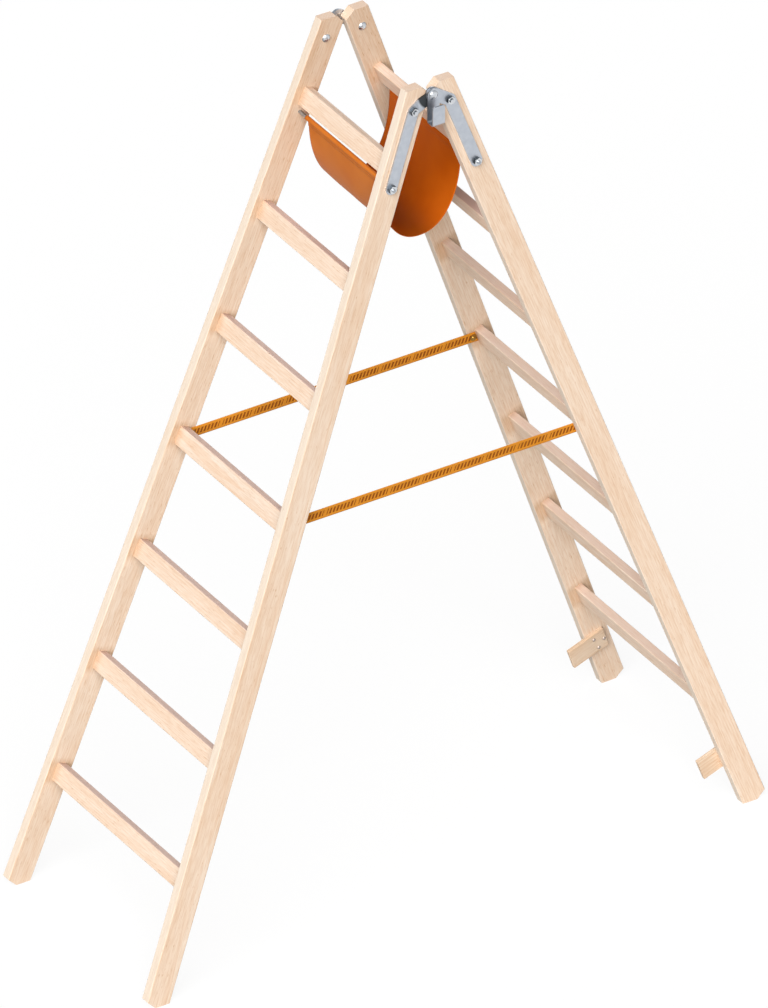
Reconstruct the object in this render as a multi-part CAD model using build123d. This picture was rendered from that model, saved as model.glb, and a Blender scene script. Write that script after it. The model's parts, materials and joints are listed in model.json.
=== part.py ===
from build123d import *
from math import cos, radians, sin, tan
import os

# A folding wooden ladder: two flights of rungs lean together on a pivot at the top.
# Millimetres, +Z up, origin on the floor at the middle of the four feet.
# X runs from the front flight to the rear flight, and Y runs across the flights.
# "drop" is a distance from the pivot down along a flight, and "reach" is a distance
# square to it, outward from the plane in which the two flights meet when folded.

# Flights
lean = 20.0
splay = 3.05
pivot_width = 366.0
fold_gap = 6.0
stile_depth = 60.0
stile_thickness = 24.0
stile_edge_round = 2.0
top_above_pivot = 20.0
corner_cut = 20.0

# Rungs and their glued tenons
rung_count = 7
rung_pitch = 280.0
first_rung_drop = 185.5
last_rung_to_foot = 283.5
rung_height = 45.0
rung_depth = 20.0
rung_edge_round = 2.0
tenon_height = 34.0
tenon_depth = 12.0
tenon_edge_round = 3.0
tenon_length = 14.0
glue_gap = 0.1
tenon_end_gap = 0.5

# Hinge plates
plate_thickness = 4.0
plate_width = 28.0
front_eye_radius = 13.5
rear_eye_radius = 15.5
upper_bolt_drop = 43.7
plate_bend_drop = 24.0
ramp_clearance = 0.5
ramp_length = 18.0
hinge_gap = 0.3

# Pivot rivets
pivot_radius = 5.0
pivot_fit = 0.05
pivot_flare = 2.0
pivot_head_radius = 11.0
pivot_head_height = 5.0

# Hinge fasteners
bolt_radius = 5.0
hole_fit = 0.05
cup_head_radius = 10.0
cup_head_height = 5.0
bolt_end = 3.0
hex_across_flats = 17.0
hex_crown = 0.4
nut_height = 8.0

# Bucket hook
hook_width = 30.0
hook_thickness = 3.0
hook_drop = 66.0
hook_inner_depth = 19.0
hook_lip_height = 49.0
hook_bend_radius = 6.0
hook_lip_round = 6.0

# Guide boards
guide_length = 95.0
guide_overhang = 47.0
guide_height = 52.0
guide_thickness = 10.0
guide_above_foot = 135.0
guide_relief = 1.0
guide_edge_round = 1.5
guide_screw_places = [(29.5, 12.0), (6.0, -2.0), (25.0, -16.0)]
wood_screw_radius = 2.2
wood_screw_length = 24.0
wood_screw_head_radius = 4.2
wood_screw_head_height = 2.4

# Spreader straps
rung_count_above_strap = 3
strap_width = 25.0
strap_thickness = 2.0
strap_slack = 0.1
strap_end_gap = 2.0
strap_screw_length = 18.0
washer_radius = 8.0
washer_thickness = 1.5

# Tool sling and the rods that carry it
rod_radius = 4.0
rod_below_rung = 38.2
rod_fit = 0.1
rod_nut_trim = 1.0
sling_thickness = 1.2
hem_slack = 0.4
hem_lap = 0.1
sling_depth = 181.0
belly_radius = 90.0
sling_half_width = 142.0

# Places that follow from the sizes above
splay_slope = tan(radians(splay))
inner_edge = fold_gap / 2
outer_edge = inner_edge + stile_depth
stile_middle = inner_edge + stile_depth / 2
last_rung_drop = first_rung_drop + (rung_count - 1) * rung_pitch
foot_drop = last_rung_drop + last_rung_to_foot
pivot_height = foot_drop * cos(radians(lean)) - stile_middle * sin(radians(lean))
rod_drop = first_rung_drop + rod_below_rung
guide_drop = foot_drop - guide_above_foot
margin = stile_depth


def face_y(drop):
    """Outer face of the left stile, measured from the ladder's middle plane."""
    return pivot_width / 2 + splay_slope * drop


def inner_y(drop):
    """Inner face of the left stile, measured from the ladder's middle plane."""
    return face_y(drop) - stile_thickness / cos(radians(splay))


def in_flight(x, height):
    """Turn a place beside the pivot, level and upright, into (reach, minus drop)."""
    reach = x * cos(radians(lean)) + height * sin(radians(lean))
    return reach, height * cos(radians(lean)) - x * sin(radians(lean))


def level_x(reach, height):
    """Level distance from the pivot to a given reach, at a height above the pivot."""
    return (reach - height * sin(radians(lean))) / cos(radians(lean))


def outward(reach, drop, rise=0.0):
    """A plane on the left stile's outer face, looking outward, raised by rise."""
    normal = Vector(0, cos(radians(splay)), sin(radians(splay)))
    origin = Vector(reach, face_y(drop), -drop) + normal * rise
    return Plane(origin=origin, x_dir=(1, 0, 0), z_dir=normal)


def inward(reach, drop):
    """A plane on the left stile's inner face, looking into the ladder."""
    normal = Vector(0, -cos(radians(splay)), -sin(radians(splay)))
    return Plane(origin=(reach, inner_y(drop), -drop), x_dir=(1, 0, 0), z_dir=normal)


def across(reach, y, drop):
    """A plane square to the ladder's width, looking to the left."""
    return Plane(origin=(reach, y, -drop), x_dir=(1, 0, 0), z_dir=(0, 1, 0))


def side_cut(points):
    """A prism with a side-view outline of (reach, height) points, as wide as the ladder."""
    outline = make_face(Polyline(*points, close=True))
    return extrude(Plane.XZ * outline, amount=foot_drop, both=True)


def between_faces(depth):
    """The space between the flights' sides, depth inside both outer faces."""
    inset = depth / cos(radians(splay))
    top = -margin
    bottom = foot_drop + margin
    points = [
        (face_y(top) - inset, -top),
        (face_y(bottom) - inset, -bottom),
        (inset - face_y(bottom), -bottom),
        (inset - face_y(top), -top),
    ]
    outline = make_face(Polyline(*points, close=True))
    return extrude(Plane.YZ * outline, amount=outer_edge + margin, both=True)


def dome(radius, height):
    """A shallow round head, flat below."""
    profile = Polyline((0, height), (0, 0), (radius, 0))
    crown = RadiusArc((radius, 0), (0, height), -(radius**2 + height**2) / (2 * height))
    return revolve(Plane.XZ * make_face(profile + crown), axis=Axis.Z)


def post(radius, length):
    """A round bar that stands on its plane."""
    return Pos(0, 0, length / 2) * Cylinder(radius, length)


def hexagon(height):
    """A six-sided head or nut with its outer corners turned off."""
    apothem = hex_across_flats / 2
    block = extrude(RegularPolygon(apothem, 6, major_radius=False), amount=height)
    spread = height * tan(radians(60))
    crown = Cone(apothem - hex_crown + spread, apothem - hex_crown, height)
    return block & Pos(0, 0, height / 2) * crown


def rung_middles():
    """Drops of the rungs, from the top down."""
    return [first_rung_drop + index * rung_pitch for index in range(rung_count)]


# Stiles: planed boards, level at both ends, with their sharp corners cut off


def stile_outline():
    rise = top_above_pivot
    top_outer = (outer_edge, (rise - outer_edge * sin(radians(lean))) / cos(radians(lean)))
    top_cut = in_flight(level_x(inner_edge, rise - corner_cut), rise - corner_cut)
    top_flat = in_flight(level_x(inner_edge, rise - corner_cut) + corner_cut, rise)
    foot_inner = in_flight(level_x(inner_edge, -pivot_height), -pivot_height)
    foot_cut_x = level_x(outer_edge, corner_cut - pivot_height)
    foot_cut = in_flight(foot_cut_x, corner_cut - pivot_height)
    foot_flat = in_flight(foot_cut_x - corner_cut, -pivot_height)
    return [foot_inner, foot_flat, foot_cut, top_outer, top_flat, top_cut]


def sockets():
    """Everything that is cut into a stile of either flight."""
    cuts = []
    pocket = RectangleRounded(
        tenon_depth + 2 * glue_gap, tenon_height + 2 * glue_gap, tenon_edge_round + glue_gap
    )
    reach_of_pocket = between_faces(stile_thickness - tenon_length - tenon_end_gap)
    for drop in rung_middles():
        bar = extrude(across(stile_middle, 0, drop) * pocket, amount=face_y(drop) + margin)
        cuts.append(bar & reach_of_pocket)
    hole = post(bolt_radius + hole_fit, stile_thickness + 2 * margin)
    cuts.append(outward(stile_middle, upper_bolt_drop, -stile_thickness - margin) * hole)
    cuts.append(rod_bore())
    reach, drop = strap_screw_place()
    screw_end = strap_y() + strap_screw_length
    cuts.append(across(reach, 0, drop) * post(wood_screw_radius + hole_fit, screw_end))
    return cuts


def stile(extra_cuts):
    slab = between_faces(0) - between_faces(stile_thickness)
    left_half = Pos(0, foot_drop / 2, 0) * Box(4 * outer_edge, foot_drop, 4 * foot_drop)
    board = side_cut(stile_outline()) & slab & left_half
    long_edges = board.edges().sort_by(SortBy.LENGTH)[-4:]
    return fillet(long_edges, stile_edge_round) - sockets() - extra_cuts


# Rungs: rounded bars with shoulders on the stiles' inner faces and blind glued tenons


def rung(drop):
    half_span = face_y(drop) + margin
    bar = RectangleRounded(rung_depth, rung_height, rung_edge_round)
    body = extrude(across(stile_middle, 0, drop) * bar, amount=half_span, both=True)
    tongue = RectangleRounded(tenon_depth, tenon_height, tenon_edge_round)
    tenon = extrude(across(stile_middle, 0, drop) * tongue, amount=half_span, both=True)
    shoulders = between_faces(stile_thickness)
    tenon_ends = between_faces(stile_thickness - tenon_length)
    return (body & shoulders) + (tenon & tenon_ends)


# Hinge plates: flat bars on the outer faces, with an arm to an eye at the pivot


def plate_outline(eye_radius):
    eye = Circle(eye_radius)
    shoulder = Pos(stile_middle, -upper_bolt_drop) * Circle(plate_width / 2)
    tip = Pos(stile_middle, -rod_drop) * Circle(plate_width / 2)
    arm = make_hull(eye.edges() + shoulder.edges())
    return arm + make_hull(shoulder.edges() + tip.edges())


def plate_bar(inner_side):
    """A bar as thick as a plate, bent along (y, height) points."""
    outer_side = [(y + plate_thickness, height) for y, height in reversed(inner_side)]
    bent_bar = make_face(Polyline(*inner_side, *outer_side, close=True))
    return extrude(Plane.YZ * bent_bar, amount=outer_edge + margin, both=True)


def plate(eye_radius, bar):
    """A bent bar cut to a plate's outline, with its holes."""
    outline = plate_outline(eye_radius)
    blank = bar & extrude(Plane.XZ * outline, amount=face_y(foot_drop), both=True)
    hole = post(bolt_radius + hole_fit, 4 * margin)
    blank -= outward(stile_middle, upper_bolt_drop, -2 * margin) * hole
    return blank - rod_bore() - eye_bore()


def plate_end():
    drop = rod_drop + plate_width
    return face_y(drop), -drop


def rear_eye_y():
    return face_y(plate_bend_drop)


def front_eye_y():
    return rear_eye_y() + plate_thickness + hinge_gap


def eye_bore():
    return across(0, 0, 0) * post(pivot_radius + pivot_fit, face_y(foot_drop))


def rear_plate():
    eye_y = rear_eye_y()
    bar = plate_bar([plate_end(), (eye_y, -plate_bend_drop), (eye_y, margin)])
    return plate(rear_eye_radius, bar) - rivet_flare(pivot_fit)


def ramp_section(x, low_y, high_y):
    """The front plate's upright section at a level distance from the pivot."""
    points = [
        (low_y, -margin), (high_y, margin),
        (high_y + plate_thickness, margin), (low_y + plate_thickness, -margin),
    ]
    return Plane.YZ.offset(x) * make_face(Polyline(*points, close=True))


def front_plate():
    """It ramps outward along its arm, so that its eye lies over the rear plate's eye."""
    ramp_end = rear_eye_radius + ramp_clearance
    ramp_start = ramp_end + ramp_length
    low_y, high_y = (face_y(-in_flight(ramp_start, height)[1]) for height in (-margin, margin))
    eye_section = ramp_section(ramp_end, front_eye_y(), front_eye_y())
    ramp = loft([ramp_section(ramp_start, low_y, high_y), eye_section], ruled=True)
    eye_slab = extrude(eye_section, amount=ramp_end + margin, dir=(-1, 0, 0))
    past_ramp = Pos(ramp_start + foot_drop, 0, 0) * Box(2 * foot_drop, foot_drop, 4 * foot_drop)
    upright = Rot(0, lean, 0)
    on_face = plate_bar([plate_end(), (face_y(-margin), margin)]) & upright * past_ramp
    return plate(front_eye_radius, on_face + upright * (ramp + eye_slab))


# Pivot rivets: a domed head outside, and an inner end flared flush into the rear eye


def rivet_flare(fit):
    flare = Cone(pivot_radius + pivot_flare + fit, pivot_radius + fit, pivot_flare)
    return across(0, rear_eye_y(), 0) * Pos(0, 0, pivot_flare / 2) * flare


def hook_y():
    return front_eye_y() + plate_thickness + hinge_gap


def rivet(head_y):
    shank = across(0, rear_eye_y(), 0) * post(pivot_radius, head_y - rear_eye_y())
    head = across(0, head_y, 0) * dome(pivot_head_radius, pivot_head_height)
    return shank + rivet_flare(0) + head


# Hinge fasteners: a cup-head bolt and nut at the top of each plate


def plate_rise():
    return plate_thickness * cos(radians(splay))


def bolt():
    head_plane = inward(stile_middle, upper_bolt_drop)
    shank_length = stile_thickness + plate_rise() + nut_height + bolt_end
    shank = outward(stile_middle, upper_bolt_drop, -stile_thickness) * post(bolt_radius, shank_length)
    return head_plane * dome(cup_head_radius, cup_head_height) + shank


def nut():
    body = hexagon(nut_height) - post(bolt_radius + hole_fit, nut_height)
    return outward(stile_middle, upper_bolt_drop, plate_rise()) * body


# Bucket hook: a bent steel strip that hangs on the right pivot


def bucket_hook():
    back = hook_y()
    lip = back + 2 * hook_thickness + hook_inner_depth
    top = hook_width / 2
    floor = hook_thickness - hook_drop
    lip_top = hook_lip_height - hook_drop
    outer = Polyline(
        (back, top), (back, -hook_drop), (lip, -hook_drop), (lip, lip_top),
        (lip - hook_thickness, lip_top), (lip - hook_thickness, floor),
        (back + hook_thickness, floor), (back + hook_thickness, top), close=True,
    )
    section = make_face(outer)
    low_corners = section.vertices().group_by(Axis.Y)[0]
    section = fillet(low_corners, hook_bend_radius)
    inside_corners = section.vertices().filter_by(lambda corner: abs(corner.Y - floor) < glue_gap)
    section = fillet(inside_corners, hook_bend_radius - hook_thickness)
    strip = extrude(Plane.YZ * section, amount=hook_width / 2, both=True)
    low_edge = Pos(0, -hook_drop - hook_width / 2)
    face = make_hull(Circle(hook_width / 2).edges() + (low_edge * Circle(hook_width / 2)).edges())
    hook = strip & extrude(Plane.XZ * face, amount=2 * lip, both=True)
    lip_corners = hook.edges().filter_by(Axis.Y).group_by(Axis.Y)[-1]
    hook = fillet(lip_corners, hook_lip_round)
    return hook - eye_bore()


# Guide boards: short boards inside the rear stiles that steer the front stiles when folding


def guide_middle():
    return guide_length / 2 - guide_overhang


def guide_plane():
    return inward(guide_middle(), guide_drop)


def guide_screw_planes():
    """Screw places, each inset from the board's outer end and above its middle."""
    outer_end = guide_length - guide_overhang
    return [inward(outer_end - inset, guide_drop - above) for inset, above in guide_screw_places]


def guide_board():
    blank = Pos(0, 0, guide_thickness / 2) * Box(guide_length, guide_height, guide_thickness)
    board = guide_plane() * fillet(blank.edges(), guide_edge_round)
    relief = Box(2 * guide_length, 2 * guide_height, 2 * guide_relief)
    board -= inward(-guide_length, guide_drop) * relief
    hole = post(wood_screw_radius + hole_fit, guide_thickness)
    return board - [plane * hole for plane in guide_screw_planes()]


def guide_screw_holes():
    depth = wood_screw_length - guide_thickness + glue_gap
    hole = Pos(0, 0, -depth) * post(wood_screw_radius + hole_fit, depth)
    return [plane * hole for plane in guide_screw_planes()]


def guide_screw_group():
    screw = dome(wood_screw_head_radius, wood_screw_head_height)
    screw += Pos(0, 0, -wood_screw_length) * post(wood_screw_radius, wood_screw_length)
    return [plane * Pos(0, 0, guide_thickness) * screw for plane in guide_screw_planes()]


# Spreader straps: webbing across the stiles' inner faces that stops the feet sliding apart


def strap_level():
    drop = first_rung_drop + rung_count_above_strap * rung_pitch
    return stile_middle * sin(radians(lean)) - drop * cos(radians(lean))


def strap_end_reach():
    return stile_middle - rung_depth / 2 - strap_end_gap


def strap_screw_place():
    reach = (inner_edge + strap_end_reach()) / 2
    return reach, -in_flight(level_x(reach, strap_level()), strap_level())[1]


def strap_y():
    """The strap's outer face, clear of the stiles' inner faces over its whole width."""
    upper = strap_level() + strap_width / 2
    drop = -in_flight(level_x(inner_edge, upper), upper)[1]
    return inner_y(drop) - strap_slack


def strap():
    low = strap_level() - strap_width / 2
    high = strap_level() + strap_width / 2
    low_x = level_x(strap_end_reach(), low)
    high_x = level_x(strap_end_reach(), high)
    outline = make_face(
        Polyline((-low_x, low), (low_x, low), (high_x, high), (-high_x, high), close=True)
    )
    band = extrude(Plane((0, strap_y(), 0), (1, 0, 0), (0, -1, 0)) * outline, amount=strap_thickness)
    reach, drop = strap_screw_place()
    hole_x = level_x(reach, strap_level())
    hole = post(wood_screw_radius + hole_fit, strap_y() + margin)
    for x in (-hole_x, hole_x):
        band -= across(x, 0, -strap_level()) * hole
    return Pos(0, 0, pivot_height) * band


def strap_washer():
    reach, drop = strap_screw_place()
    ring = post(washer_radius, washer_thickness) - post(wood_screw_radius + hole_fit, washer_thickness)
    return across(reach, strap_y() - strap_thickness - washer_thickness, drop) * ring


def strap_screw():
    reach, drop = strap_screw_place()
    seat = strap_y() - strap_thickness - washer_thickness
    shank_length = strap_screw_length + strap_thickness + washer_thickness - tenon_end_gap
    head = dome(wood_screw_head_radius, wood_screw_head_height)
    turned_head = Rot(180, 0, 0) * head
    return across(reach, seat, drop) * (turned_head + post(wood_screw_radius, shank_length))


# Tool sling: a sheet hung as a trough between two rods, with a hem round each rod. A rod runs
# through both stiles of its flight and the lower ends of their plates, and has a nut at each end.


def rod_bore():
    return across(stile_middle, 0, rod_drop) * post(rod_radius + rod_fit, face_y(foot_drop))


def rod_nut_y():
    """Where a rod comes out of a plate's outer face."""
    return face_y(rod_drop) + plate_thickness


def sling_rod():
    half_length = rod_nut_y() + nut_height + bolt_end
    return across(stile_middle, -half_length, rod_drop) * post(rod_radius, 2 * half_length)


def rod_nut():
    """A nut square to its rod, with its seat trimmed to the plate's slight slope."""
    height = rod_nut_trim + nut_height
    blank = hexagon(height) - post(rod_radius + hole_fit, height)
    below_seat = Pos(0, 0, -margin / 2) * Box(margin, margin, margin)
    nut_plane = across(stile_middle, rod_nut_y() - rod_nut_trim, rod_drop)
    return nut_plane * blank - outward(stile_middle, rod_drop, plate_rise()) * below_seat


def sling():
    rod_x = stile_middle * cos(radians(lean)) + rod_drop * sin(radians(lean))
    rod_height = stile_middle * sin(radians(lean)) - rod_drop * cos(radians(lean))
    hem_inner = rod_radius + hem_slack
    hem_outer = hem_inner + sling_thickness
    belly = Pos(0, rod_height - sling_depth + belly_radius)

    def loop(half_span, around):
        top = Line((-half_span, rod_height), (half_span, rod_height))
        return make_hull([top] + (belly * Circle(around)).edges())

    trough = loop(rod_x - hem_inner, belly_radius)
    trough -= loop(rod_x - hem_outer, belly_radius - sling_thickness)
    for rod in (Pos(-rod_x, rod_height), Pos(rod_x, rod_height)):
        trough += rod * Circle(hem_outer + hem_lap) - rod * Circle(hem_inner - hem_lap)
    sheet = extrude(Plane.XZ * trough, amount=sling_half_width, both=True)
    return Pos(0, 0, pivot_height) * sheet


# Assembly: each piece is made once for the rear flight's left side, then set in its place


def place(piece, flight, side="left"):
    if side == "right":
        piece = mirror(piece, about=Plane.XZ)
    placed = Pos(0, 0, pivot_height) * Rot(0, -lean, 0) * piece
    if flight == "front":
        placed = mirror(placed, about=Plane.YZ)
    return placed


def write(name, *pieces):
    solids = [solid for piece in pieces for solid in piece.solids()]
    export_step(Compound(solids), f"parts/{name}.step")


os.makedirs("parts", exist_ok=True)
sides = ("left", "right")
flight_cuts = {"front": [], "rear": guide_screw_holes()}
plates = {"front": front_plate(), "rear": rear_plate()}
paired_hardware = {
    "hinge_bolts": bolt(),
    "hinge_nuts": nut(),
    "rod_nuts": rod_nut(),
    "strap_washers": strap_washer(),
    "strap_screws": strap_screw(),
}

for flight in ("front", "rear"):
    board = stile(flight_cuts[flight])
    for side in sides:
        write(f"{flight}_stile_{side}", place(board, flight, side))
        write(f"{flight}_hinge_plate_{side}", place(plates[flight], flight, side))
    for number, drop in enumerate(rung_middles(), start=1):
        write(f"{flight}_rung_{number}", place(rung(drop), flight))
    for name, piece in paired_hardware.items():
        write(f"{flight}_{name}", *[place(piece, flight, side) for side in sides])
    write(f"{flight}_sling_rod", place(sling_rod(), flight))

on_pivot = Pos(0, 0, pivot_height)
write("hinge_pivot_left", on_pivot * rivet(hook_y()))
long_rivet = rivet(hook_y() + hook_thickness + hinge_gap)
write("hinge_pivot_right", on_pivot * mirror(long_rivet, about=Plane.XZ))
write("bucket_hook", on_pivot * mirror(bucket_hook(), about=Plane.XZ))

screws = guide_screw_group()
for side in sides:
    write(f"rear_guide_board_{side}", place(guide_board(), "rear", side))
write("guide_board_screws", *[place(screw, "rear", side) for side in sides for screw in screws])

write("spreader_strap_left", strap())
write("spreader_strap_right", mirror(strap(), about=Plane.XZ))
write("tool_sling", sling())
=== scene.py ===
import json
from bisect import bisect_right
from math import copysign, cos, pi, radians, sin, sqrt, tan

import bpy
from mathutils import Matrix, Vector


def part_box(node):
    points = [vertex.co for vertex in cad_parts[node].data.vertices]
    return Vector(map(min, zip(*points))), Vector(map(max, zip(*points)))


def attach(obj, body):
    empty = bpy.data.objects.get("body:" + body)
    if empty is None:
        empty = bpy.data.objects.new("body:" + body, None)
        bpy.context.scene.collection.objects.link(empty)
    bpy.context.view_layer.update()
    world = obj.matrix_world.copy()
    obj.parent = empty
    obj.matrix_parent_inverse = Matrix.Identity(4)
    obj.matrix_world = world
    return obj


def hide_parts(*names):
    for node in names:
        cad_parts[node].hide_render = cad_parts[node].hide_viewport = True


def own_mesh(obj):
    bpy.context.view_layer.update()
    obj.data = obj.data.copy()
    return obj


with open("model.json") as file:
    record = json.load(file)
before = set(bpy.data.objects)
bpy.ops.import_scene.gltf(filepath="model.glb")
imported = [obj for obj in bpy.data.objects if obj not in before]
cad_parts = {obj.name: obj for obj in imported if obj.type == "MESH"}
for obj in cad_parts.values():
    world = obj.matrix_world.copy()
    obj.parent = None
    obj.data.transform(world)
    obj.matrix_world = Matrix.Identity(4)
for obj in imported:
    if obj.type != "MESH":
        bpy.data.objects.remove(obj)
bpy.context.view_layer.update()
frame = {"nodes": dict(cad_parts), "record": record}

# Stiles: four planed pine boards of 60 by 24 mm, sawn level at both ends with the sharp
# corners cut off. The long edges are rounded over, and the wood is left bare.

# Lengths are in metres, or in millimetres where a name says so. A Wave texture of scale 1 repeats
# after a tenth of pi.
LEAN = radians(20)
SPLAY = radians(3.05)
RUNG_COUNT = 7
MM_IN_M = 1000
WAVE_REPEAT = pi / 10
RING_WIDTH_MM = 5.0
LATE_WOOD_PEAK = 0.94
FIBRE_WIDTH_MM = 2.0
FIBRE_LENGTH_MM = 32.0
FLECK_WIDTH_MM = 1.8
FLECK_LENGTH_MM = 14.0
CLOUD_WIDTH_MM = 24.0
CLOUD_LENGTH_MM = 420.0
DRIFT_WIDTH_MM = 45.0
DRIFT_LENGTH_MM = 700.0
WANDER_MM = 5.0
LOG_OFFSET_MM = 75.0
LOG_STEP_MM = 611.0
GOLDEN_TURN = 2.4
STILE_EARLY_WOOD = "#EDDAC7"
STILE_LATE_WOOD = "#EAD1B9"
# The narrow edges of the stiles are painted paler: a painted highlight.
EDGE_HIGHLIGHT_WOOD = "#E2DED3"
EDGE_HIGHLIGHT_SHARE = 0.4
# Sawn ends are darker, and rung tops are painted darker with the same tone, as painted shade.
SAWN_END_AND_TREAD_SHADE_WOOD = "#CBAEA2"
SAWN_END_SHARE = 0.25
# Painted shade: darker wood at the rungs' joints and towards the top of the stiles' inner faces.
PAINTED_SHADE_WOOD = "#E8DFD4"
JOINT_SHADE_FULL_TO = 0.020
JOINT_SHADE_GONE_FROM = 0.036
TOP_SHADE_STARTS_AT = 1.30
TOP_SHADE_FULL_AT = 1.75
TOP_SHADE_SHARE = 0.65


def colour(code):
    """A linear colour from an sRGB hex code."""
    channels = [int(code[i:i + 2], 16) / 255 for i in (1, 3, 5)]
    return [c / 12.92 if c <= 0.04045 else ((c + 0.055) / 1.055) ** 2.4 for c in channels] + [1.0]


def add(tree, kind, inputs=None, ramp=None, **settings):
    """Add a shader node. Inputs are values, or the sockets that feed them."""
    node = tree.nodes.new("ShaderNode" + kind)
    for name, value in settings.items():
        setattr(node, name, value)
    for socket, value in (inputs or {}).items():
        if isinstance(value, bpy.types.NodeSocket):
            tree.links.new(value, node.inputs[socket])
        else:
            node.inputs[socket].default_value = value
    for number, (place, shade) in enumerate(ramp or ()):
        stops = node.color_ramp.elements
        stop = stops[number] if number < 2 else stops.new(place)
        stop.position = place
        stop.color = shade
    return node


def blank_material(name):
    """A material with its tree emptied and an output to build on."""
    material = bpy.data.materials.new(name)
    material.use_nodes = True
    material.node_tree.nodes.clear()
    return material, material.node_tree, add(material.node_tree, "OutputMaterial")


def dress(node_name, material):
    """Give a carried-over solid its material."""
    solid = frame["nodes"][node_name]
    solid.data.materials.clear()
    solid.data.materials.append(material)


def planed_pine(board_name, upright, number, early, late, edge_highlight=0.0, end_grain_and_tread_shade=0.0, painted_shade_marks=None):
    """Bare planed pine: pale early wood and slightly darker late wood in straight rings, with short
    fibre streaks and a few resin flecks, cut from its own place in a log. Rings of 3 mm and fibres
    of 0.1 mm are too fine to show, so both are drawn coarser. Narrow edges can be painted paler, a
    painted highlight; sawn ends can be darker; rung tops can be painted darker, as painted shade;
    and painted shade can darken given places."""
    corners = [upright @ vertex.co * MM_IN_M for vertex in frame["nodes"][board_name].data.vertices]
    middle = [(min(c[axis] for c in corners) + max(c[axis] for c in corners)) / 2 for axis in range(3)]
    turn = number * GOLDEN_TURN
    from_pith = Vector((LOG_OFFSET_MM * cos(turn), LOG_OFFSET_MM * sin(turn), LOG_STEP_MM * number))
    material, tree, output = blank_material("planed_pine_" + board_name)
    place = add(tree, "TexCoord")
    grain = add(tree, "Mapping", {
        "Vector": place.outputs["Object"], "Scale": (MM_IN_M, MM_IN_M, MM_IN_M),
        "Rotation": upright.to_euler(), "Location": from_pith - Vector(middle),
    })

    def streaks(width, length, detail):
        """Noise drawn out along the grain, with a width and a length in millimetres."""
        drawn_out = add(tree, "VectorMath", {
            0: grain.outputs[0], 1: (1 / width, 1 / width, 1 / length),
        }, operation="MULTIPLY")
        return add(tree, "TexNoise", {"Vector": drawn_out.outputs[0], "Scale": 1.0, "Detail": detail})

    drift = streaks(DRIFT_WIDTH_MM, DRIFT_LENGTH_MM, 2.0)
    centred = add(tree, "VectorMath", {
        0: drift.outputs["Color"], 1: (0.5, 0.5, 0.5),
    }, operation="SUBTRACT")
    wander = add(tree, "VectorMath", {
        0: centred.outputs[0], 1: (2 * WANDER_MM, 2 * WANDER_MM, 0), 2: grain.outputs[0],
    }, operation="MULTIPLY_ADD")
    rings = add(tree, "TexWave", {
        "Vector": wander.outputs[0], "Scale": WAVE_REPEAT / RING_WIDTH_MM,
        "Distortion": 0.6, "Detail": 2.0, "Detail Scale": 0.15,
    }, wave_type="RINGS", rings_direction="Z", wave_profile="SAW")
    fibres = streaks(FIBRE_WIDTH_MM, FIBRE_LENGTH_MM, 3.0)
    flecks = streaks(FLECK_WIDTH_MM, FLECK_LENGTH_MM, 0.0)
    clouds = streaks(CLOUD_WIDTH_MM, CLOUD_LENGTH_MM, 2.0)
    wood_rings = add(tree, "ValToRGB", {"Fac": rings.outputs["Fac"]}, ramp=[
        (0.0, colour(early)), (LATE_WOOD_PEAK, colour(late)), (1.0, colour(early)),
    ])
    shade = wood_rings.outputs[0]
    for pattern, stops in (
        (fibres, [(0.32, "#F3E9DF"), (0.60, "#FFFFFF")]),
        (flecks, [(0.74, "#FFFFFF"), (0.84, "#E8D6C2")]),
        (clouds, [(0.32, "#FAF4EE"), (0.66, "#FFFFFF")]),
    ):
        layer = add(tree, "ValToRGB", {"Fac": pattern.outputs["Fac"]}, ramp=[
            (stop, colour(code)) for stop, code in stops
        ])
        marked = add(tree, "Mix", {
            0: 1.0, 6: shade, 7: layer.outputs[0],
        }, data_type="RGBA", blend_type="MULTIPLY")
        shade = marked.outputs[2]
    # Narrow edges are painted paler, a painted highlight, and sawn ends and rung tops darker, the rung
    # tops as painted shade.
    for way, strength, tone in (
        (upright.inverted() @ Vector((1, 0, 0)), edge_highlight, EDGE_HIGHLIGHT_WOOD),
        (Vector((0, 0, 1)), end_grain_and_tread_shade, SAWN_END_AND_TREAD_SHADE_WOOD),
    ):
        if strength:
            facing = add(tree, "VectorMath", {
                0: place.outputs["Normal"], 1: way,
            }, operation="DOT_PRODUCT")
            squarely = add(tree, "Math", {0: facing.outputs["Value"]}, operation="ABSOLUTE")
            share = add(tree, "MapRange", {
                "Value": squarely.outputs[0], "From Min": 0.70, "From Max": 0.95, "To Max": strength,
            })
            toned = add(tree, "Mix", {
                0: share.outputs[0], 6: shade, 7: colour(tone),
            }, data_type="RGBA", blend_type="MIX")
            shade = toned.outputs[2]
    # Painted shade darkens the places that the given mask picks out.
    if painted_shade_marks:
        darkened = add(tree, "Mix", {
            0: painted_shade_marks(tree, place), 6: shade, 7: colour(PAINTED_SHADE_WOOD),
        }, data_type="RGBA", blend_type="MULTIPLY")
        shade = darkened.outputs[2]
    rough = add(tree, "MapRange", {"Value": fibres.outputs["Fac"], "To Min": 0.72, "To Max": 0.55})
    bump = add(tree, "Bump", {"Height": fibres.outputs["Fac"], "Strength": 0.12, "Distance": 0.0004})
    wood = add(tree, "BsdfPrincipled", {
        "Base Color": shade, "Roughness": rough.outputs[0], "Normal": bump.outputs[0],
        "Specular IOR Level": 0.35,
    })
    tree.links.new(wood.outputs[0], output.inputs["Surface"])
    dress(board_name, material)


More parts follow.
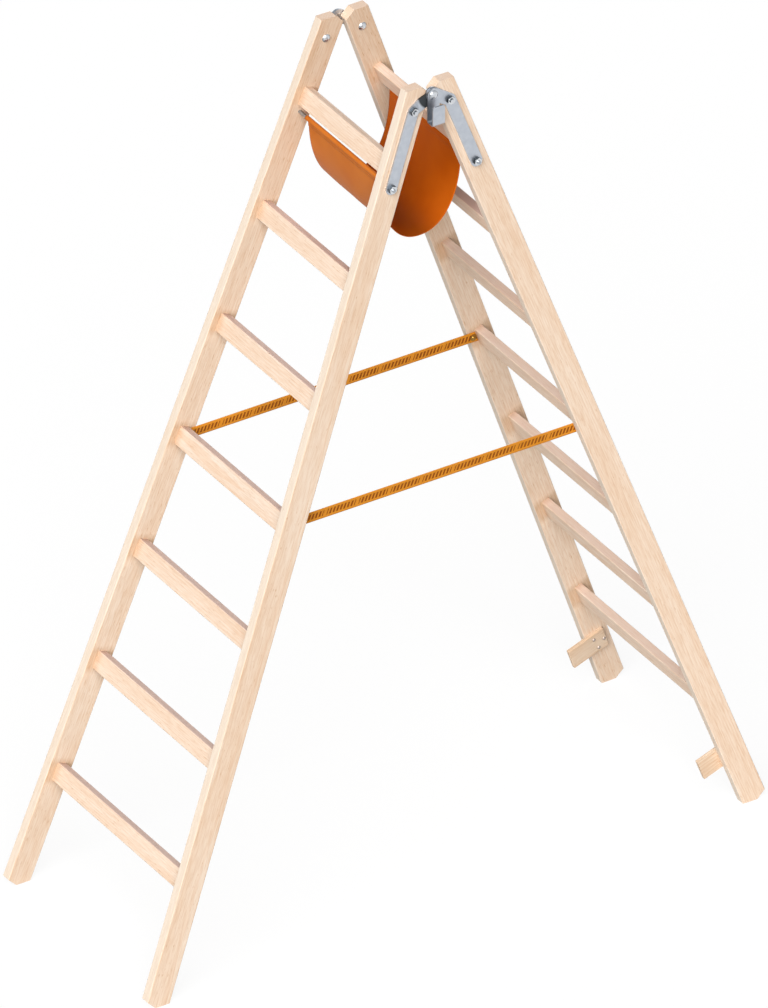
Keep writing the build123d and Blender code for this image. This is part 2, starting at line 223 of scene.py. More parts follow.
def inner_face_shade(tree, place, flight, inward):
    """Painted shade on a stile's inner face: darker level with each rung, where the joint is in
    shade, and darker towards the top, where the hinge and the sling shade it."""
    first, second = (sum(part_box(f"{flight}_rung_{rung}"), Vector()) / 2 for rung in (1, 2))
    pitch = second - first
    below_first = add(tree, "VectorMath", {0: place.outputs["Object"], 1: first}, operation="SUBTRACT")
    drop = add(tree, "VectorMath", {
        0: below_first.outputs[0], 1: pitch.normalized(),
    }, operation="DOT_PRODUCT")
    within = add(tree, "Clamp", {
        "Value": drop.outputs["Value"],
        "Min": -pitch.length / 2, "Max": pitch.length * (RUNG_COUNT - 0.5),
    })
    off_rung = add(tree, "Math", {0: within.outputs[0], 1: pitch.length / 2}, operation="PINGPONG")
    joint_shade = add(tree, "MapRange", {
        "Value": off_rung.outputs[0], "From Min": JOINT_SHADE_GONE_FROM, "From Max": JOINT_SHADE_FULL_TO,
    })
    split = add(tree, "SeparateXYZ", {0: place.outputs["Object"]})
    upper_shade = add(tree, "MapRange", {
        "Value": split.outputs["Z"],
        "From Min": TOP_SHADE_STARTS_AT, "From Max": TOP_SHADE_FULL_AT, "To Max": TOP_SHADE_SHARE,
    })
    shade_share = add(tree, "Math", {0: joint_shade.outputs[0], 1: upper_shade.outputs[0]}, operation="MAXIMUM")
    facing = add(tree, "VectorMath", {
        0: place.outputs["Normal"], 1: (0, inward, 0),
    }, operation="DOT_PRODUCT")
    inner = add(tree, "MapRange", {"Value": facing.outputs["Value"], "From Min": 0.8, "From Max": 0.95})
    seen = add(tree, "Math", {0: shade_share.outputs[0], 1: inner.outputs[0]}, operation="MULTIPLY")
    return seen.outputs[0]


board_number = 0
for flight, flight_turn in (("front", -LEAN), ("rear", LEAN)):
    for side, side_turn in (("left", -SPLAY), ("right", SPLAY)):
        board_number += 1
        upright = Matrix.Rotation(side_turn, 3, "X") @ Matrix.Rotation(flight_turn, 3, "Y")
        inward = copysign(1, side_turn)
        planed_pine(
            f"{flight}_stile_{side}", upright, board_number, STILE_EARLY_WOOD, STILE_LATE_WOOD,
            edge_highlight=EDGE_HIGHLIGHT_SHARE, end_grain_and_tread_shade=SAWN_END_SHARE,
            painted_shade_marks=lambda tree, place: inner_face_shade(tree, place, flight, inward),
        )

# Rungs: fourteen planed pine bars of 45 by 20 mm with rounded edges, each glued by a tenon
# into the stiles. The grain runs along the bar.

ACROSS = Matrix.Rotation(radians(90), 3, "X")
TENON = 0.014
# How far the painted shade at a rung's joints reaches along the rung.
JOINT_SHADE_REACH = 0.024
RUNG_EARLY_WOOD = "#EDDBCA"
RUNG_LATE_WOOD = "#EAD1BA"
# How much darker each rung's top is painted, from the first rung down: painted shade where less light
# falls on the tops, strongest on the rear second rung, which lies in the sling's shadow.
TREAD_SHADE = {
    "front": (0.25, 0.95, 0.95, 0.95, 0.95, 0.95, 0.95),
    "rear": (0.35, 0.95, 0.5, 0.5, 0.5, 0.5, 0.5),
}


def shoulder_shade(tree, place, shoulder):
    """Painted shade at the ends of a rung, up to its shoulders, where it meets the stiles."""
    split = add(tree, "SeparateXYZ", {0: place.outputs["Object"]})
    off_middle = add(tree, "Math", {0: split.outputs["Y"]}, operation="ABSOLUTE")
    return add(tree, "MapRange", {
        "Value": off_middle.outputs[0], "From Min": shoulder - JOINT_SHADE_REACH, "From Max": shoulder,
    }, interpolation_type="SMOOTHSTEP").outputs[0]


for flight in ("front", "rear"):
    for rung, rung_top_shade in enumerate(TREAD_SHADE[flight], 1):
        board_number += 1
        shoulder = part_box(f"{flight}_rung_{rung}")[1].y - TENON
        planed_pine(
            f"{flight}_rung_{rung}", ACROSS, board_number, RUNG_EARLY_WOOD, RUNG_LATE_WOOD,
            end_grain_and_tread_shade=rung_top_shade, painted_shade_marks=lambda tree, place: shoulder_shade(tree, place, shoulder),
        )

# Guide boards: two short pine offcuts screwed inside the rear stiles near the feet, which
# lead the front stiles between them as the ladder folds.

BOARD_EARLY_WOOD = "#E3CFB9"
BOARD_LATE_WOOD = "#DABD9F"

for side in ("left", "right"):
    board_number += 1
    upright = Matrix.Rotation(radians(-90), 3, "Y") @ Matrix.Rotation(LEAN, 3, "Y")
    planed_pine(
        f"rear_guide_board_{side}", upright, board_number, BOARD_EARLY_WOOD, BOARD_LATE_WOOD,
    )

# Hinge plates: four flat steel bars with an eye at the pivot, stamped, bent and zinc plated.
# The front pair ramps outward so that its eyes lie over those of the rear pair. The rims of the
# eyes and the front pair's ramps are painted dark, as painted shade.

PIVOT = Vector(frame["record"]["behaviour"]["joints"][0]["pos_m"])
ZINC_CLOUD_MM = 12.0
ROUGHNESS_SPREAD = 0.08
# The dark grey of painted shade on zinc.
PAINTED_SHADE_STEEL = "#44484B"
EYE_REACH = 0.020
EYE_BLUR = 0.001
RIM_SHARE = 0.6
# The painted shade on the ramp comes in between the first pair of distances, and goes between the
# second.
RAMP_STARTS = (0.014, 0.017)
RAMP_ENDS = (0.036, 0.032)
PLATE_TONES = ("#B9BFC8", "#C5CAD2")
PLATE_ROUGHNESS = 0.38


def zinc_plate(name, tones, roughness, shaded_where=None):
    """Bright zinc plate on steel: a cool pale metal, slightly clouded, with clouds 12 mm across.
    Where shade is painted, the colour goes towards a dark steel grey."""
    material, tree, output = blank_material(name)
    place = add(tree, "TexCoord")
    cloud = add(tree, "TexNoise", {
        "Vector": place.outputs["Object"], "Scale": MM_IN_M / ZINC_CLOUD_MM, "Detail": 3.0,
    })
    shade = add(tree, "ValToRGB", {"Fac": cloud.outputs["Fac"]}, ramp=[
        (0.3, colour(tones[0])), (0.7, colour(tones[1])),
    ])
    surface = shade.outputs[0]
    if shaded_where:
        painted_dark = add(tree, "Mix", {
            0: shaded_where(tree, place), 6: surface, 7: colour(PAINTED_SHADE_STEEL),
        }, data_type="RGBA", blend_type="MIX")
        surface = painted_dark.outputs[2]
    rough = add(tree, "MapRange", {
        "Value": cloud.outputs["Fac"],
        "To Min": roughness - ROUGHNESS_SPREAD, "To Max": roughness + ROUGHNESS_SPREAD,
    })
    bump = add(tree, "Bump", {"Height": cloud.outputs["Fac"], "Strength": 0.08, "Distance": 0.0003})
    metal = add(tree, "BsdfPrincipled", {
        "Base Color": surface, "Metallic": 1.0,
        "Roughness": rough.outputs[0], "Normal": bump.outputs[0],
    })
    tree.links.new(metal.outputs[0], output.inputs["Surface"])
    return material


def from_pivot(tree, place):
    """The distance from the pivot's axis."""
    around = add(tree, "VectorMath", {0: place.outputs["Object"], 1: PIVOT}, operation="SUBTRACT")
    flat = add(tree, "VectorMath", {0: around.outputs[0], 1: (1, 0, 1)}, operation="MULTIPLY")
    return add(tree, "VectorMath", {0: flat.outputs[0]}, operation="LENGTH").outputs["Value"]


def turned_sideways(tree, place, from_cosine, to_cosine, share=1.0):
    """The faces that are square to a plate or a head, and not those that lie flat in it."""
    facing = add(tree, "VectorMath", {
        0: place.outputs["Normal"], 1: (0, 1, 0),
    }, operation="DOT_PRODUCT")
    flat = add(tree, "Math", {0: facing.outputs["Value"]}, operation="ABSOLUTE")
    return add(tree, "MapRange", {
        "Value": flat.outputs[0], "From Min": from_cosine, "From Max": to_cosine, "To Max": share,
    }).outputs[0]


def eye_rim_shade(tree, place):
    """Painted shade on the rim of an eye: within 20 mm of the pivot and square to the plate."""
    near = add(tree, "MapRange", {
        "Value": from_pivot(tree, place),
        "From Min": EYE_REACH + EYE_BLUR, "From Max": EYE_REACH - EYE_BLUR,
    })
    rim = turned_sideways(tree, place, 0.7, 0.5, RIM_SHARE)
    return add(tree, "Math", {0: near.outputs[0], 1: rim}, operation="MULTIPLY").outputs[0]


def ramp_and_rim_shade(tree, place):
    """Painted shade on the ramp beside the eye, 16 to 34 mm from the pivot, where the bent metal turns
    away from the light, and on the rim of the eye."""
    away = from_pivot(tree, place)
    begun = add(tree, "MapRange", {
        "Value": away, "From Min": RAMP_STARTS[0], "From Max": RAMP_STARTS[1],
    })
    ended = add(tree, "MapRange", {
        "Value": away, "From Min": RAMP_ENDS[0], "From Max": RAMP_ENDS[1],
    })
    ramp = add(tree, "Math", {0: begun.outputs[0], 1: ended.outputs[0]}, operation="MULTIPLY")
    painted_dark = add(tree, "Math", {0: ramp.outputs[0], 1: eye_rim_shade(tree, place)}, operation="MAXIMUM")
    return painted_dark.outputs[0]


front_plate_zinc = zinc_plate(
    "zinc_plated_strip_shaded_at_the_bend", PLATE_TONES, PLATE_ROUGHNESS, ramp_and_rim_shade,
)
rear_plate_zinc = zinc_plate("zinc_plated_strip", PLATE_TONES, PLATE_ROUGHNESS, eye_rim_shade)
for side in ("left", "right"):
    dress(f"front_hinge_plate_{side}", front_plate_zinc)
    dress(f"rear_hinge_plate_{side}", rear_plate_zinc)

# Pivots and fasteners: domed pivot rivets, cup-head bolts, hexagon nuts, screws and washers,
# headed or turned from steel. Rivets, bolts and nuts are zinc plated brighter than the plates,
# the straps' screws and washers are passivated yellow, and the guide boards' screws are dulled.
# The sides of rivet heads, bolt heads and nuts are painted darker, as painted shade.

FASTENER_TONES = ("#C3C7CC", "#DDE0E4")
NUT_TONES = ("#C9CDD1", "#E2E5E8")
YELLOW_TONES = ("#9A7434", "#B08A48")
DULLED_TONES = ("#8E8078", "#B3A69C")


def head_side_shade(tree, place):
    """Painted shade on the sides of a head or nut."""
    return turned_sideways(tree, place, 0.9, 0.5)


bright_zinc = zinc_plate("zinc_plated_fasteners", FASTENER_TONES, 0.24, head_side_shade)
nut_zinc = zinc_plate("zinc_plated_nuts", NUT_TONES, 0.26, head_side_shade)
yellow_zinc = zinc_plate("yellow_passivated_zinc", YELLOW_TONES, 0.36)
for side in ("left", "right"):
    dress(f"hinge_pivot_{side}", bright_zinc)
for flight in ("front", "rear"):
    dress(f"{flight}_hinge_bolts", bright_zinc)
    for piece in ("hinge_nuts", "rod_nuts"):
        dress(f"{flight}_{piece}", nut_zinc)
    for piece in ("strap_screws", "strap_washers"):
        dress(f"{flight}_{piece}", yellow_zinc)
dress("guide_board_screws", zinc_plate("dulled_zinc_screws", DULLED_TONES, 0.45))

# Bucket hook: a steel strip bent into a hook that hangs on the right pivot. Its inside is
# painted dark, as painted shade.

# The painted shade comes in between the first and the second of each pair of distances.
BEHIND_LIP = (0.0025, 0.0040)
BEFORE_MIDDLE = (0.001, 0.005)
BELOW_PIVOT = (0.005, 0.012)
HOOK_SHADE_SHARE = 0.36


def hook_inside_shade(tree, place):
    """Painted shade on the front half of the arm below the eye, behind the lip, and on the rim of the
    eye.
    """
    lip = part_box("bucket_hook")[0].y
    split = add(tree, "SeparateXYZ", {0: place.outputs["Object"]})
    behind = add(tree, "MapRange", {
        "Value": split.outputs["Y"],
        "From Min": lip + BEHIND_LIP[0], "From Max": lip + BEHIND_LIP[1], "To Max": HOOK_SHADE_SHARE,
    })
    front = add(tree, "MapRange", {
        "Value": split.outputs["X"], "From Min": -BEFORE_MIDDLE[0], "From Max": -BEFORE_MIDDLE[1],
    })
    below = add(tree, "MapRange", {
        "Value": split.outputs["Z"],
        "From Min": PIVOT.z - BELOW_PIVOT[0], "From Max": PIVOT.z - BELOW_PIVOT[1],
    })
    half = add(tree, "Math", {0: front.outputs[0], 1: below.outputs[0]}, operation="MULTIPLY")
    shaded_inside = add(tree, "Math", {0: half.outputs[0], 1: behind.outputs[0]}, operation="MULTIPLY")
    painted_dark = add(tree, "Math", {0: shaded_inside.outputs[0], 1: eye_rim_shade(tree, place)}, operation="MAXIMUM")
    return painted_dark.outputs[0]


dress("bucket_hook", zinc_plate("zinc_plated_hook", PLATE_TONES, PLATE_ROUGHNESS, hook_inside_shade))

# Spreader straps: two lengths of orange webbing, 25 mm wide, 1 mm thick and slightly crowned,
# screwed through washers to the stiles' inner faces. Slanted brown marks are woven along the middle.

STRAP_ROWS = 13
STRAP_STEPS = 160
STRAP_CROWN = 0.0004
WASHER_GAP = 0.0001
MARK_HALF_HEIGHT = 0.0065
MARK_PITCH = 0.009
MARK_HALF_WIDTH = 0.27 * MARK_PITCH
MARK_SLANT = 0.4
MARK_BLUR = 0.0004
MARKS_IN_GROUP = 9
GROUP_LENGTH = MARKS_IN_GROUP * MARK_PITCH
RIB_MM = 2.5
YARN_MM = 2.0


def fold_up(piece):
    """Hang a piece on the front flight, with a mesh of its own."""
    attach(piece, "front_flight")
    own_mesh(piece)


def new_piece(name, points, faces, material, smooth=True):
    """A mesh object with one material."""
    mesh = bpy.data.meshes.new(name)
    mesh.from_pydata(points, [], faces)
    for face in mesh.polygons:
        face.use_smooth = smooth
    piece = bpy.data.objects.new(name, mesh)
    bpy.context.collection.objects.link(piece)
    mesh.materials.append(material)
    return piece


def grid_faces(rows, columns):
    """The four-sided faces between points that lie in rows and columns."""
    return [
        (r * columns + c, r * columns + c + 1, (r + 1) * columns + c + 1, (r + 1) * columns + c)
        for r in range(rows - 1) for c in range(columns - 1)
    ]


def strap_webbing(middle_height):
    """Woven polyester webbing: golden orange and ribbed across, with groups of slanted brown marks
    woven along the middle. The ribs of 1 mm are too fine to show, so they are drawn at 2.5 mm, and
    the yarns between them at 2 mm."""
    material, tree, output = blank_material("woven_polyester_webbing")
    place = add(tree, "TexCoord")
    rib = add(tree, "TexWave", {
        "Vector": place.outputs["Object"], "Scale": WAVE_REPEAT * MM_IN_M / RIB_MM, "Distortion": 1.2,
    }, wave_type="BANDS", bands_direction="X")
    yarn = add(tree, "TexWave", {
        "Vector": place.outputs["Object"], "Scale": WAVE_REPEAT * MM_IN_M / YARN_MM, "Distortion": 0.8,
    }, wave_type="BANDS", bands_direction="Z")
    thread = add(tree, "Math", {0: rib.outputs["Fac"], 1: yarn.outputs["Fac"]}, operation="MULTIPLY")
    ground = add(tree, "ValToRGB", {"Fac": thread.outputs[0]}, ramp=[
        (0.0, colour("#CC7F1C")), (0.8, colour("#E39933")),
    ])
    marks = add(tree, "ValToRGB", {"Fac": thread.outputs[0]}, ramp=[
        (0.0, colour("#834200")), (0.8, colour("#985003")),
    ])
    split = add(tree, "SeparateXYZ", {0: place.outputs["Object"]})
    up = add(tree, "Math", {0: split.outputs["Z"], 1: middle_height}, operation="SUBTRACT")
    slant = add(tree, "Math", {
        0: up.outputs[0], 1: -MARK_SLANT, 2: split.outputs["X"],
    }, operation="MULTIPLY_ADD")
    off_middle = add(tree, "Math", {0: up.outputs[0]}, operation="ABSOLUTE")
    off_mark = add(tree, "Math", {0: slant.outputs[0], 1: MARK_PITCH / 2}, operation="PINGPONG")
    off_group = add(tree, "Math", {0: slant.outputs[0], 1: GROUP_LENGTH / 2}, operation="PINGPONG")
    plain = 0.0
    for distance, half_width in (
        (off_middle, MARK_HALF_HEIGHT), (off_mark, MARK_HALF_WIDTH),
        (off_group, (GROUP_LENGTH - MARK_PITCH) / 2),
    ):
        clear = add(tree, "MapRange", {
            "Value": distance.outputs[0],
            "From Min": half_width - MARK_BLUR, "From Max": half_width + MARK_BLUR,
        })
        plain = add(tree, "Math", {0: clear.outputs[0], 1: plain}, operation="MAXIMUM").outputs[0]
    shade = add(tree, "Mix", {
        0: plain, 6: marks.outputs[0], 7: ground.outputs[0],
    }, data_type="RGBA", blend_type="MIX")
    bump = add(tree, "Bump", {"Height": thread.outputs[0], "Strength": 0.4, "Distance": 0.0004})
    cloth = add(tree, "BsdfPrincipled", {
        "Base Color": shade.outputs[2], "Roughness": 0.7, "Normal": bump.outputs[0],
        "Specular IOR Level": 0.2,
    })
    tree.links.new(cloth.outputs[0], output.inputs["Surface"])
    return material


strap_low, strap_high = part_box("spreader_strap_left")
webbing = strap_webbing((strap_low.z + strap_high.z) / 2)
for side, outward in (("left", 1), ("right", -1)):
    low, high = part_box(f"spreader_strap_{side}")
    lean_in = (high.z - low.z) * tan(LEAN)
    points = []
    for step in range(STRAP_STEPS + 1):
        for row in range(STRAP_ROWS):
            up = row / (STRAP_ROWS - 1)
            half = high.x - lean_in * up
            crown = STRAP_CROWN * sin(pi * up)
            points.append((
                -half + 2 * half * step / STRAP_STEPS, (low.y + high.y) / 2 - outward * crown,
                low.z + (high.z - low.z) * up,
            ))
    strap = new_piece(f"webbing_strap_{side}", points, grid_faces(STRAP_STEPS + 1, STRAP_ROWS), webbing)
    body = strap.modifiers.new("webbing thickness", "SOLIDIFY")
    body.thickness = high.y - low.y - 2 * STRAP_CROWN - 2 * WASHER_GAP
    body.offset = 0
    fold_up(strap)
    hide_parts(f"spreader_strap_{side}")

# Sling rods: two straight steel rods, 8 mm thick, that run through both stiles of a flight and
# the lower ends of the hinge plates, where a nut holds each end. The zinc on them is a duller grey.

ROD_TONES = ("#9EA2A8", "#B7BBC0")

rod_zinc = zinc_plate("zinc_plated_rod", ROD_TONES, 0.4)
for flight in ("front", "rear"):
    dress(f"{flight}_sling_rod", rod_zinc)

# Tool sling: one sheet of orange coated cloth that hangs between the rods as a trough. Each end
# goes up inside its rod, over it and down outside, where it is sewn to the sheet as a hem.

SLING_THICKNESS = 0.0012
HEM_RADIUS = 0.005
HEM_OVERLAP = 0.022
HEM_CLOSES = 0.010
SLING_DEPTH = 0.1830
FULLNESS = 2.2
SECTION_STEPS = 2000
SLACK_HEIGHT = 0.0012
BROAD_WAVE = 0.21
BROAD_START = 0.8
SLANTED_WAVE = 0.13
SLANTED_RUN = 0.34
SLANTED_SHARE = 0.6
PANEL_STEPS = 120
PANEL_COLUMNS = 73
OVERLAP_STEPS = 14
HEM_STEPS = 24
WEAVE_MM = 2.4
DYE_CLOUD_MM = 70.0
# A painted shadow darkens the inside at the bottom of the trough.
TROUGH_SHADOW_REACH = 0.075
TROUGH_SHADOW_BRIGHTNESS = 0.6


def coated_cloth(name, deep, pale, gloss, painted_shadow_at=None):
    """Coated woven cloth: a smooth satin face, unevenly dyed, in which the base weave shows as a
    fine grid. The weave of 1 mm is too fine to show, so it is drawn at 2.4 mm. A painted shadow
    can darken the bottom of the trough, a distance from the hem."""
    material, tree, output = blank_material(name)
    place = add(tree, "TexCoord")
    cloud = add(tree, "TexNoise", {
        "Vector": place.outputs["Object"], "Scale": MM_IN_M / DYE_CLOUD_MM, "Detail": 2.0,
    })
    shade = add(tree, "ValToRGB", {"Fac": cloud.outputs["Fac"]}, ramp=[
        (0.3, colour(deep)), (0.7, colour(pale)),
    ])
    warp, weft = (
        add(tree, "TexWave", {
            "Vector": place.outputs["UV"], "Scale": WAVE_REPEAT * MM_IN_M / WEAVE_MM, "Distortion": 0.5,
        }, wave_type="BANDS", bands_direction=direction)
        for direction in ("X", "Y")
    )
    weave = add(tree, "Math", {0: warp.outputs["Fac"], 1: weft.outputs["Fac"]}, operation="MAXIMUM")
    bump = add(tree, "Bump", {"Height": weave.outputs[0], "Strength": 0.15, "Distance": 0.0002})
    rough = add(tree, "MapRange", {"Value": cloud.outputs["Fac"], "To Min": 0.50, "To Max": 0.62})
    surface = shade.outputs[0]
    if painted_shadow_at:
        split = add(tree, "SeparateXYZ", {0: place.outputs["UV"]})
        off_bottom = add(tree, "Math", {0: split.outputs["Y"], 1: painted_shadow_at}, operation="SUBTRACT")
        away = add(tree, "Math", {0: off_bottom.outputs[0]}, operation="ABSOLUTE")
        unshadowed = add(tree, "MapRange", {
            "Value": away.outputs[0], "From Min": 0, "From Max": TROUGH_SHADOW_REACH,
            "To Min": TROUGH_SHADOW_BRIGHTNESS, "To Max": 1.0,
        }, interpolation_type="SMOOTHSTEP")
        trough_shadowed = add(tree, "Mix", {
            0: unshadowed.outputs[0], 6: colour("#000000"), 7: surface,
        }, data_type="RGBA", blend_type="MIX")
        surface = trough_shadowed.outputs[2]
    cloth = add(tree, "BsdfPrincipled", {
        "Base Color": surface, "Roughness": rough.outputs[0], "Normal": bump.outputs[0],
        "Specular IOR Level": gloss,
    })
    tree.links.new(cloth.outputs[0], output.inputs["Surface"])
    return material


front_low, front_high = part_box("front_sling_rod")
rear_low, rear_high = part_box("rear_sling_rod")
rod_z = (front_low.z + front_high.z) / 2
front_rod = Vector(((front_low.x + front_high.x) / 2, rod_z))
rear_rod = Vector(((rear_low.x + rear_high.x) / 2, rod_z))
sling_low, sling_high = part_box("tool_sling")
sling_width = sling_high.y - sling_low.y
half_mouth = rear_rod.x - HEM_RADIUS
middle_depth = SLING_DEPTH - SLING_THICKNESS / 2
section = []
reach = [0.0]
for step in range(SECTION_STEPS + 1):
    turn = pi * step / SECTION_STEPS
    span = abs(cos(turn)) ** (2 / FULLNESS) * half_mouth
    drop = abs(sin(turn)) ** (2 / FULLNESS) * middle_depth
    section.append(Vector((-copysign(span, cos(turn)), rod_z - drop)))
    if step:
        reach.append(reach[-1] + (section[-1] - section[-2]).length)
panel_length = reach[-1]


def panel_point(distance):
    """A point of the trough's section and its outward direction, a distance from the front hem."""
    after = min(bisect_right(reach, distance), SECTION_STEPS)
    share = (distance - reach[after - 1]) / (reach[after] - reach[after - 1])
    spot = section[after - 1].lerp(section[after], share)
    sideways = abs(spot.x / half_mouth) ** (FULLNESS - 1) / half_mouth
    downward = abs((rod_z - spot.y) / middle_depth) ** (FULLNESS - 1) / middle_depth
    return spot, Vector((copysign(sideways, spot.x), -downward)).normalized()


def slack(distance, y):
    """How far the cloth waves out of its section, nothing at the rods."""
    held = sin(pi * distance / panel_length)
    broad = sin(2 * pi * y / BROAD_WAVE + BROAD_START)
    slanted = sin(2 * pi * (y / SLANTED_WAVE + distance / SLANTED_RUN))
    return SLACK_HEIGHT * held * (broad + SLANTED_SHARE * slanted)


def sling_grid(distances, rises):
    """Points and faces of cloth over the sling's width, raised outward from the panel."""
    points = []
    for distance, rise in zip(distances, rises):
        spot, out = panel_point(distance)
        for column in range(PANEL_COLUMNS):
            y = sling_low.y + sling_width * column / (PANEL_COLUMNS - 1)
            place = spot + out * (slack(distance, y) + rise)
            points.append((place.x, y, place.y))
    return points, grid_faces(len(distances), PANEL_COLUMNS)


def lay_weave(piece, row_distances):
    """Map the weave onto the cloth: along its width and along its length, in metres."""
    weave_map = piece.data.uv_layers.new(name="weave")
    for loop in piece.data.loops:
        y = piece.data.vertices[loop.vertex_index].co.y
        weave_map.data[loop.index].uv = (y, row_distances[loop.vertex_index // PANEL_COLUMNS])


def cloth_thickness(piece):
    """Give a sheet its thickness, with the second material inside and the first on the rim."""
    sheet = piece.modifiers.new("cloth thickness", "SOLIDIFY")
    sheet.thickness = SLING_THICKNESS
    sheet.offset = 0
    sheet.material_offset = 1
    sheet.material_offset_rim = 0


# The outside is painted paler than the inside: partly the coated face against the bare back, partly a
# painted sheen.
cloth_outside = coated_cloth("coated_cloth_outside", "#BF6619", "#C97124", 0.22)
cloth_inside = coated_cloth("coated_cloth_inside", "#B35105", "#BD5A0B", 0.08, panel_length / 2)
row_distances = [panel_length * step / PANEL_STEPS for step in range(PANEL_STEPS + 1)]
points, faces = sling_grid(row_distances, [0] * len(row_distances))
for at_rear in (False, True):
    distances = []
    rises = []
    for step in range(OVERLAP_STEPS + 1):
        down = HEM_OVERLAP * step / OVERLAP_STEPS
        closing = min(down / HEM_CLOSES, 1)
        ease = closing * closing * (3 - 2 * closing)
        distances.append(panel_length - down if at_rear else down)
        rises.append(2 * HEM_RADIUS * (1 - ease) + SLING_THICKNESS * ease)
    more_points, more_faces = sling_grid(distances, rises)
    flip = slice(None, None, -1 if at_rear else 1)
    faces += [tuple(len(points) + corner for corner in face)[flip] for face in more_faces]
    points += more_points
    row_distances += distances
panel = new_piece("sling_panel", points, faces, cloth_outside)
panel.data.materials.append(cloth_inside)
lay_weave(panel, row_distances)
cloth_thickness(panel)

for name, rod in (("front", front_rod), ("rear", rear_rod)):
    points = []
    for step in range(HEM_STEPS + 1):
        turn = 2 * pi * step / HEM_STEPS - pi / 2
        for column in range(PANEL_COLUMNS):
            y = sling_low.y + sling_width * column / (PANEL_COLUMNS - 1)
            points.append((rod.x + cos(turn) * HEM_RADIUS, y, rod.y + sin(turn) * HEM_RADIUS))
    faces = grid_faces(HEM_STEPS + 1, PANEL_COLUMNS)
    hem = new_piece(f"sling_hem_{name}", points, faces, cloth_outside)
    hem.data.materials.append(cloth_inside)
    lay_weave(hem, [2 * pi * HEM_RADIUS * step / HEM_STEPS for step in range(HEM_STEPS + 1)])
    cloth_thickness(hem)
    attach(hem, f"{name}_flight")

# Sling stitching: two rows of thick polyester thread that hold each hem down, one stitch through
# both layers every 4.4 mm. The thread lies half sunk in the cloth, outside and inside.

STITCH_ROWS = (0.014, 0.019)
STITCH_PITCH = 0.0044
STITCH_LENGTH = 0.0034
STITCH_EDGE = 0.004
THREAD_RADIUS = 0.00045
THREAD_TAPER = 0.8
THREAD_SIDES = 6
THREAD_RINGS = 5
TWIST_MM = 0.8


def sewing_thread():
    """Twisted polyester thread: a dull brown-orange line, a little darker than the cloth, with the
    twist as fine slanting ribs, drawn at 0.8 mm so that they show."""
    material, tree, output = blank_material("twisted_polyester_thread")
    place = add(tree, "TexCoord")
    twist = add(tree, "TexWave", {
        "Vector": place.outputs["Object"], "Scale": WAVE_REPEAT * MM_IN_M / TWIST_MM,
    }, wave_type="BANDS", bands_direction="DIAGONAL")
    shade = add(tree, "ValToRGB", {"Fac": twist.outputs["Fac"]}, ramp=[
        (0.2, colour("#803C0D")), (0.8, colour("#9F541A")),
    ])
    thread = add(tree, "BsdfPrincipled", {"Base Color": shade.outputs[0], "Roughness": 0.65})
    tree.links.new(thread.outputs[0], output.inputs["Surface"])
    return material


points = []
faces = []
stitch_count = int((sling_width - 2 * STITCH_EDGE) / STITCH_PITCH)
for at_rear in (False, True):
    for row in STITCH_ROWS:
        distance = panel_length - row if at_rear else row
        spot, out = panel_point(distance)
        for stitch in range(stitch_count):
            middle = sling_low.y + STITCH_EDGE + STITCH_PITCH * (stitch + 0.5)
            for rise in (3 * SLING_THICKNESS / 2, -SLING_THICKNESS / 2):
                start = len(points)
                for ring in range(THREAD_RINGS):
                    across = 2 * ring / (THREAD_RINGS - 1) - 1
                    y = middle + across * STITCH_LENGTH / 2
                    swell = THREAD_RADIUS * sqrt(1 - THREAD_TAPER * across ** 2)
                    centre = spot + out * (slack(distance, y) + rise)
                    for side in range(THREAD_SIDES):
                        turn = 2 * pi * side / THREAD_SIDES
                        points.append((centre.x + cos(turn) * swell, y, centre.y + sin(turn) * swell))
                for ring in range(THREAD_RINGS - 1):
                    here = start + ring * THREAD_SIDES
                    beyond = here + THREAD_SIDES
                    for side in range(THREAD_SIDES):
                        after = (side + 1) % THREAD_SIDES
                        faces.append((here + side, here + after, beyond + after, beyond + side))
                faces.append(tuple(start + side for side in reversed(range(THREAD_SIDES))))
                last = start + (THREAD_RINGS - 1) * THREAD_SIDES
                faces.append(tuple(last + side for side in range(THREAD_SIDES)))
stitching = new_piece("sling_stitching", points, faces, sewing_thread())

for piece in (panel, stitching):
    fold_up(piece)
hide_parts("tool_sling")

# Studio: a wide matt floor that keeps a faint shadow, a soft key light from above and just left of
# the camera, a weaker level fill from behind the ladder, and a room that is white to the eye and to
# shiny surfaces but gives hardly any light.

FLOOR_HALF = 9.0
FLOOR_GLOW = 0.9
WHITE = colour("#FFFFFF")
FLOOR_GREY = colour("#B5B5B5")
ROOM_LIGHT = 0.02
KEY_LIGHT = {"energy": 4.75, "angle": radians(55), "direction": (0.555, 0.575, -0.602)}
FILL_LIGHT = {"energy": 2.0, "angle": radians(75), "direction": (-0.60, -0.80, 0.0)}


def seen_rays(tree):
    """One for a ray from the camera, or for one that a shiny or clear surface sends on."""
    rays = add(tree, "LightPath")
    direct = add(tree, "Math", {
        0: rays.outputs["Is Camera Ray"], 1: rays.outputs["Is Glossy Ray"],
    }, operation="ADD")
    seen = add(tree, "Math", {
        0: direct.outputs[0], 1: rays.outputs["Is Transmission Ray"],
    }, operation="ADD", use_clamp=True)
    return seen.outputs[0]


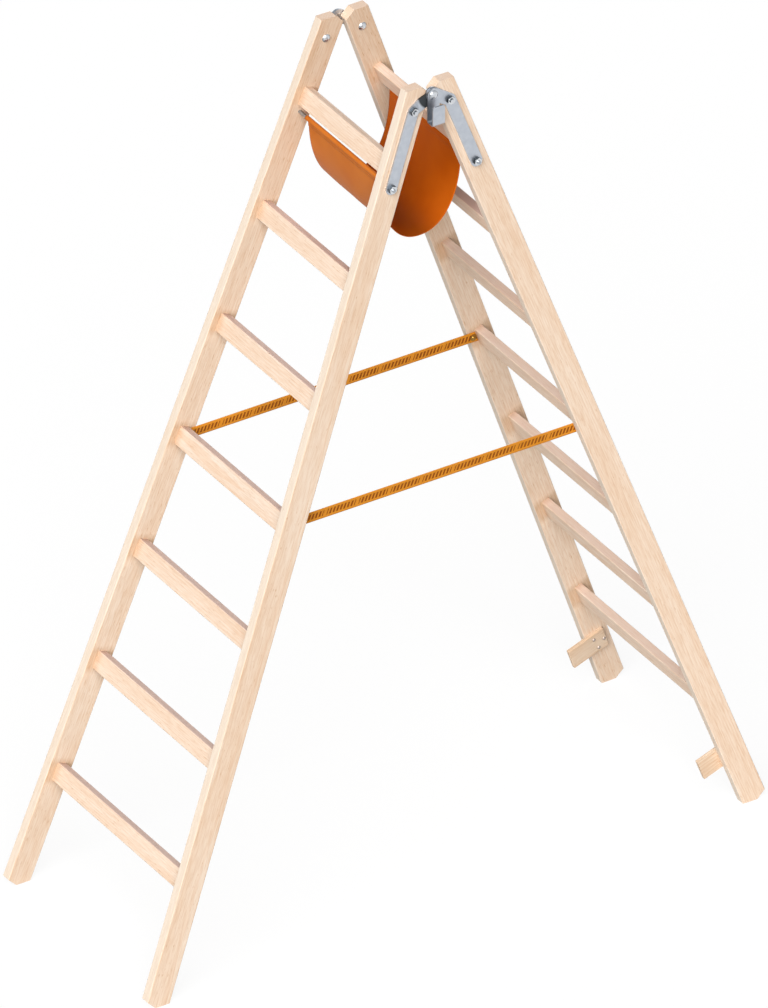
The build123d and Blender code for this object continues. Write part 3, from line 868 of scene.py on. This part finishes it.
floor_material, floor_tree, floor_output = blank_material("matt_white_floor")
shadowed = add(floor_tree, "BsdfDiffuse", {"Color": WHITE})
glow = add(floor_tree, "Emission", {"Color": WHITE, "Strength": 1.0})
pale = add(floor_tree, "MixShader", {0: FLOOR_GLOW, 1: shadowed.outputs[0], 2: glow.outputs[0]})
dull = add(floor_tree, "BsdfDiffuse", {"Color": FLOOR_GREY})
surface = add(floor_tree, "MixShader", {
    0: seen_rays(floor_tree), 1: dull.outputs[0], 2: pale.outputs[0],
})
floor_tree.links.new(surface.outputs[0], floor_output.inputs["Surface"])
floor = new_piece("floor", [
    (-FLOOR_HALF, -FLOOR_HALF, 0), (FLOOR_HALF, -FLOOR_HALF, 0),
    (FLOOR_HALF, FLOOR_HALF, 0), (-FLOOR_HALF, FLOOR_HALF, 0),
], [(0, 1, 2, 3)], floor_material, smooth=False)

world = bpy.data.worlds.new("white_room")
bpy.context.scene.world = world
world.use_nodes = True
room = world.node_tree
room.nodes.clear()
ambient = add(room, "Background", {"Color": WHITE, "Strength": ROOM_LIGHT})
white = add(room, "Background", {"Color": WHITE, "Strength": 1.0})
walls = add(room, "MixShader", {0: seen_rays(room), 1: ambient.outputs[0], 2: white.outputs[0]})
add(room, "OutputWorld", {"Surface": walls.outputs[0]})

for name, light in (("key_light", KEY_LIGHT), ("fill_light", FILL_LIGHT)):
    lamp = bpy.data.lights.new(name, "SUN")
    lamp.energy = light["energy"]
    lamp.angle = light["angle"]
    lamp_stand = bpy.data.objects.new(name, lamp)
    bpy.context.collection.objects.link(lamp_stand)
    lamp_stand.rotation_euler = Vector(light["direction"]).to_track_quat("-Z", "Y").to_euler()

# Camera: a very long lens, far away, because the photograph shows almost no perspective. It looks
# down at the ladder by 33 degrees, as the photograph does.

LENS_MM = 1200
CAMERA_YAW = radians(32.267)
CAMERA_TILT = radians(32.696)
CAMERA_AIM = Vector((0.0020, 0.0056, 0.8613))
CAMERA_DISTANCE = 72.462
CLIP_START = 1
CLIP_END = 200

view = bpy.data.cameras.new("camera")
view.lens = LENS_MM
view.clip_start = CLIP_START
view.clip_end = CLIP_END
camera = bpy.data.objects.new("camera", view)
bpy.context.collection.objects.link(camera)
level = cos(CAMERA_TILT)
forward = Vector((sin(CAMERA_YAW) * level, cos(CAMERA_YAW) * level, -sin(CAMERA_TILT)))
camera.location = CAMERA_AIM - forward * CAMERA_DISTANCE
camera.rotation_euler = forward.to_track_quat("-Z", "Y").to_euler()
bpy.context.scene.camera = camera
bpy.context.scene.view_settings.view_transform = "Standard"
